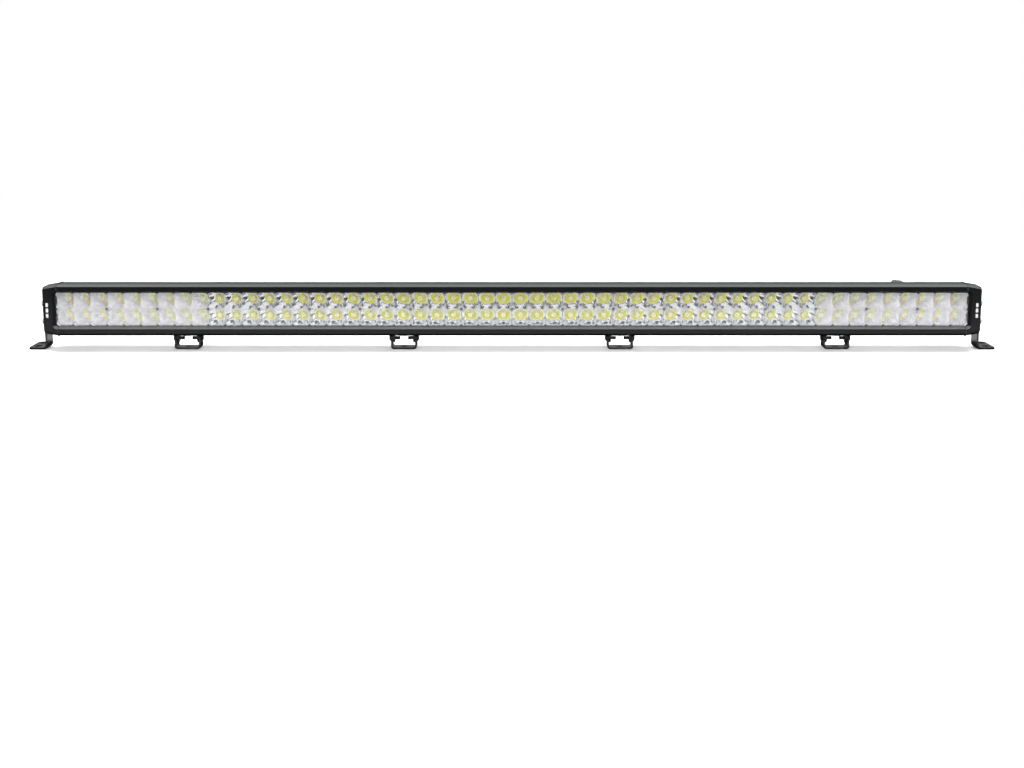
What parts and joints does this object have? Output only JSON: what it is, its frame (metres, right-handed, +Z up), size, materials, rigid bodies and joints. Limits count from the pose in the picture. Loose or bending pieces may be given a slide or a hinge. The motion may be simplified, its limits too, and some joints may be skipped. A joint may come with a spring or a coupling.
{
  "type": "vehicle led light bar",
  "caption": "Long, slim two-row LED light bar with a finned extruded body, end caps, tilting end brackets and feet that slide in a T-slot.",
  "frame": {"origin": "on the mounting surface, midway along the bar and midway between its front face and the end of the cable gland", "axes": "+X along the bar (the right end seen from in front), -Y the way the light shines, +Z up from the mounting surface"},
  "size_m": [1.3392, 0.078, 0.0943],
  "materials": {
    "black_powder_coat": "semi-gloss fine-textured powder coat on extruded aluminium",
    "cap_black": "satin powder coat on a die-cast cap",
    "seal_rubber": "matte black silicone",
    "clear_lens": "clear hard-coated polycarbonate",
    "flood_reflector": "metallised plastic with fine diagonal ribs",
    "spot_reflector": "mirror-bright metallised plastic",
    "led_phosphor": "yellow-green phosphor under a clear silicone dome",
    "led_board": "white solder mask on an aluminium board",
    "circuit_board": "green solder mask",
    "gland_plastic": "black nylon",
    "stainless": "bright zinc or stainless hardware",
    "bracket_black": "gloss black paint on pressed steel",
    "black_screws": "black oxide steel"
  },
  "bodies": {
    "mount_brackets": {"bracket_left": "bracket_black", "bracket_right": "bracket_black"},
    "light_bar": {"housing": "black_powder_coat", "end_cap_left": "cap_black", "end_cap_right": "cap_black", "cap_gasket_left": "seal_rubber", "cap_gasket_right": "seal_rubber", "lens": "clear_lens", "lens_seal": "seal_rubber", "flood_reflector_left": "flood_reflector", "spot_reflector_1": "spot_reflector", "spot_reflector_2": "spot_reflector", "spot_reflector_3": "spot_reflector", "spot_reflector_4": "spot_reflector", "flood_reflector_right": "flood_reflector", "led_board_1": "led_board", "led_board_2": "led_board", "led_board_3": "led_board", "led_board_4": "led_board", "led_board_5": "led_board", "led_board_6": "led_board", "leds_1": "led_phosphor", "leds_2": "led_phosphor", "leds_3": "led_phosphor", "leds_4": "led_phosphor", "leds_5": "led_phosphor", "leds_6": "led_phosphor", "driver_board": "circuit_board", "cable_gland": "gland_plastic", "gland_nut": "gland_plastic", "vent_plug": "gland_plastic", "cap_screws_left": "stainless", "cap_screws_right": "stainless", "flat_washers_left": "stainless", "flat_washers_right": "stainless", "spring_washers_left": "stainless", "spring_washers_right": "stainless", "bracket_screws_left": "stainless", "bracket_screws_right": "stainless"},
    "foot_1_slider": {"foot_1_channel": "bracket_black", "foot_1_bolt": "stainless", "foot_1_nut": "stainless", "foot_1_pivot_screws": "black_screws"},
    "foot_1_base": {"foot_1_bracket": "bracket_black"},
    "foot_2_slider": {"foot_2_channel": "bracket_black", "foot_2_bolt": "stainless", "foot_2_nut": "stainless", "foot_2_pivot_screws": "black_screws"},
    "foot_2_base": {"foot_2_bracket": "bracket_black"},
    "foot_3_slider": {"foot_3_channel": "bracket_black", "foot_3_bolt": "stainless", "foot_3_nut": "stainless", "foot_3_pivot_screws": "black_screws"},
    "foot_3_base": {"foot_3_bracket": "bracket_black"},
    "foot_4_slider": {"foot_4_channel": "bracket_black", "foot_4_bolt": "stainless", "foot_4_nut": "stainless", "foot_4_pivot_screws": "black_screws"},
    "foot_4_base": {"foot_4_bracket": "bracket_black"}
  },
  "joints": [
    {"name": "bar_tilt", "type": "hinge", "parent": "mount_brackets", "child": "light_bar", "pos_m": [0, -0.006, 0.039], "axis": [1, 0, 0], "range_deg": [-10, 10]},
    {"name": "foot_1_slide", "type": "slide", "parent": "light_bar", "child": "foot_1_slider", "axis": [1, 0, 0], "range_m": [-0.06, 0.06]},
    {"name": "foot_1_tilt", "type": "hinge", "parent": "foot_1_slider", "child": "foot_1_base", "pos_m": [-0.45, -0.006, 0.0145], "axis": [1, 0, 0], "range_deg": [-30, 30]},
    {"name": "foot_2_slide", "type": "slide", "parent": "light_bar", "child": "foot_2_slider", "axis": [1, 0, 0], "range_m": [-0.06, 0.06]},
    {"name": "foot_2_tilt", "type": "hinge", "parent": "foot_2_slider", "child": "foot_2_base", "pos_m": [-0.15, -0.006, 0.0145], "axis": [1, 0, 0], "range_deg": [-30, 30]},
    {"name": "foot_3_slide", "type": "slide", "parent": "light_bar", "child": "foot_3_slider", "axis": [1, 0, 0], "range_m": [-0.06, 0.06]},
    {"name": "foot_3_tilt", "type": "hinge", "parent": "foot_3_slider", "child": "foot_3_base", "pos_m": [0.15, -0.006, 0.0145], "axis": [1, 0, 0], "range_deg": [-30, 30]},
    {"name": "foot_4_slide", "type": "slide", "parent": "light_bar", "child": "foot_4_slider", "axis": [1, 0, 0], "range_m": [-0.06, 0.06]},
    {"name": "foot_4_tilt", "type": "hinge", "parent": "foot_4_slider", "child": "foot_4_base", "pos_m": [0.45, -0.006, 0.0145], "axis": [1, 0, 0], "range_deg": [-30, 30]}
  ]
}
